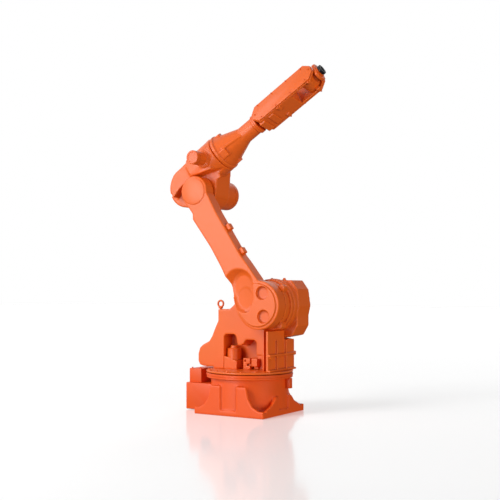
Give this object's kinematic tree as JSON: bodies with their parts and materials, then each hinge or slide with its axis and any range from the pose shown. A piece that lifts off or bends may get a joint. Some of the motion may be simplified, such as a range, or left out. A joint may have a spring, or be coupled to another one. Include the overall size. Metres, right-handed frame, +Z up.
{
  "type": "six axis industrial robot arm",
  "caption": "Floor-standing jointed robot arm: square foot, swivelling column, leaning lower arm on the shoulder, elbow casting, tubular forearm and a boxed wrist with a tool flange.",
  "frame": {"origin": "on the swivel axis at floor level, the middle of the foot's four anchor holes", "axes": "+Z up along the swivel axis; +X forward, the way the arm reaches; +Y to the side that the shoulder and elbow motors stand on"},
  "size_m": [1.1366, 0.612, 2.1369],
  "materials": {
    "orange_paint": "satin orange machine paint over cast iron and aluminium",
    "motor_paint": "satin orange machine paint on motor cans",
    "bare_steel": "machined gearbox steel",
    "flange_black": "black anodised",
    "connector_black": "moulded black"
  },
  "bodies": {
    "base": {"base_casting": "orange_paint", "base_ring": "orange_paint", "swivel_gearbox": "bare_steel", "cable_box": "orange_paint", "cable_riser": "orange_paint", "cable_panel": "orange_paint", "power_connector": "connector_black", "signal_connector": "connector_black", "swivel_stop": "orange_paint"},
    "column": {"column_flange": "orange_paint", "column_casting": "orange_paint", "column_front_plate": "orange_paint", "column_side_lug": "orange_paint", "rear_eyebolt": "orange_paint", "swivel_motor_mount": "orange_paint", "swivel_motor": "motor_paint", "recess_bracket": "orange_paint", "recess_block": "orange_paint", "shoulder_gearbox": "bare_steel", "shoulder_housing": "orange_paint", "shoulder_motor_mount": "orange_paint", "shoulder_motor": "motor_paint"},
    "lower_arm": {"lower_arm": "orange_paint", "shoulder_cover": "orange_paint", "elbow_cover": "orange_paint", "hose_clamp_low": "orange_paint", "hose_clamp_high": "orange_paint"},
    "elbow": {"elbow_casting": "orange_paint", "elbow_gearbox": "bare_steel", "elbow_motor_mount": "orange_paint", "elbow_motor": "motor_paint", "roll_motor_mount": "orange_paint", "roll_motor": "motor_paint", "roll_bearing": "bare_steel"},
    "forearm": {"forearm_casting": "orange_paint", "forearm_collar": "orange_paint", "wrist_box": "orange_paint", "wrist_cover_near": "orange_paint", "wrist_cover_far": "orange_paint", "wrist_pivot_near": "bare_steel", "wrist_pivot_far": "bare_steel"},
    "wrist": {"wrist_hub": "orange_paint", "wrist_hand": "orange_paint", "wrist_ring": "orange_paint", "flange_bearing": "bare_steel"},
    "flange": {"tool_flange": "flange_black"}
  },
  "joints": [
    {"name": "swivel", "type": "hinge", "parent": "base", "child": "column", "pos_m": [0, 0, 0.2515], "axis": [0, 0, 1], "range_deg": [-170, 170]},
    {"name": "shoulder", "type": "hinge", "parent": "column", "child": "lower_arm", "pos_m": [0.143, 0, 0.67], "axis": [0, 1, 0], "range_deg": [-26, 110]},
    {"name": "elbow", "type": "hinge", "parent": "lower_arm", "child": "elbow", "pos_m": [-0.33845, 0, 1.39464], "axis": [0, -1, 0], "range_deg": [-70, 75]},
    {"name": "forearm_roll", "type": "hinge", "parent": "elbow", "child": "forearm", "pos_m": [-0.2073, 0, 1.64521], "axis": [0.848, 0, 0.5299], "range_deg": [-180, 180]},
    {"name": "wrist_bend", "type": "hinge", "parent": "forearm", "child": "wrist", "pos_m": [0.42703, 0, 2.04159], "axis": [0.1638, 0.9511, -0.2621], "range_deg": [-120, 120]},
    {"name": "flange_roll", "type": "hinge", "parent": "wrist", "child": "flange", "pos_m": [0.51014, 0, 2.09352], "axis": [0.848, 0, 0.5299], "range_deg": [-180, 180]}
  ]
}
